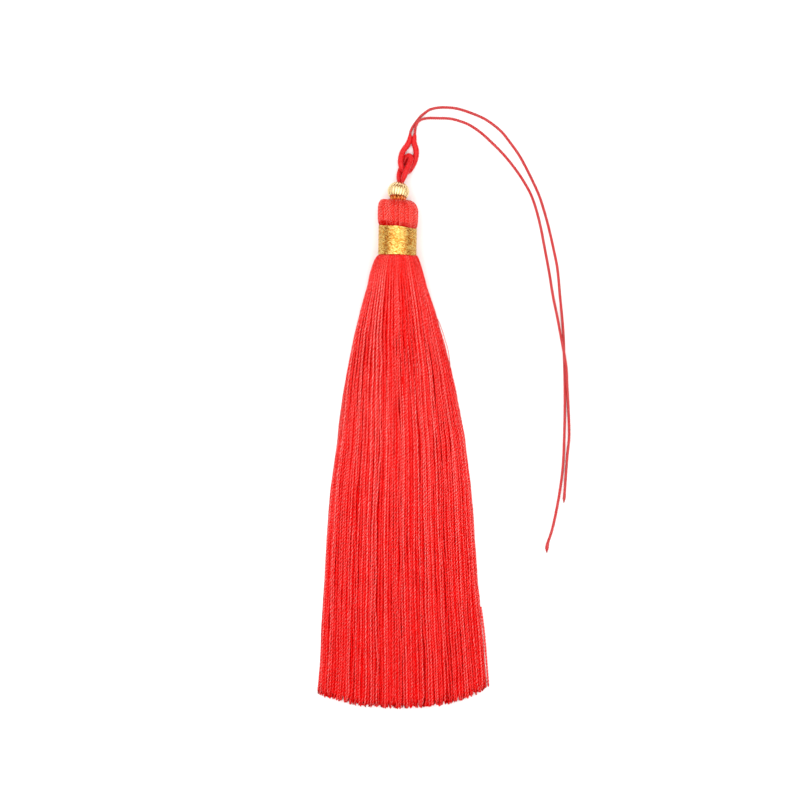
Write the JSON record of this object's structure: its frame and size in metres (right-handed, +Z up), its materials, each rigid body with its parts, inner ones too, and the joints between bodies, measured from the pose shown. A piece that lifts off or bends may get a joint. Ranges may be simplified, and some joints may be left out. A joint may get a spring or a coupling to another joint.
{
  "type": "silk tassel",
  "caption": "Long silk tassel lying flat, with a bound head, a wound gold band, a fluted bead, linked wrapped loops and thin free cords.",
  "frame": {"origin": "on the surface that the tassel lies on, under the middle of the box of the tassel without its thin free cords", "axes": "+Z up from the surface, +Y along the tassel towards its head and loops, +X to the right as seen from above with the head at the top"},
  "size_m": [0.0711, 0.169, 0.0113],
  "materials": {
    "floss": "glossy red silk floss, two-ply twisted threads",
    "gold_thread": "fine metallic gold thread wound side by side",
    "gold_bead": "polished pale gold plating on a fluted bead",
    "wrapped_cord": "red cord closely wrapped with silk thread",
    "thin_cord": "thin twisted red cord with melted dark ends"
  },
  "bodies": {
    "root": {"floss": "floss", "gold_band": "gold_thread", "bead": "gold_bead", "bead_loop": "wrapped_cord", "top_ring": "wrapped_cord", "cord_long": "thin_cord", "cord_short": "thin_cord"}
  },
  "joints": []
}
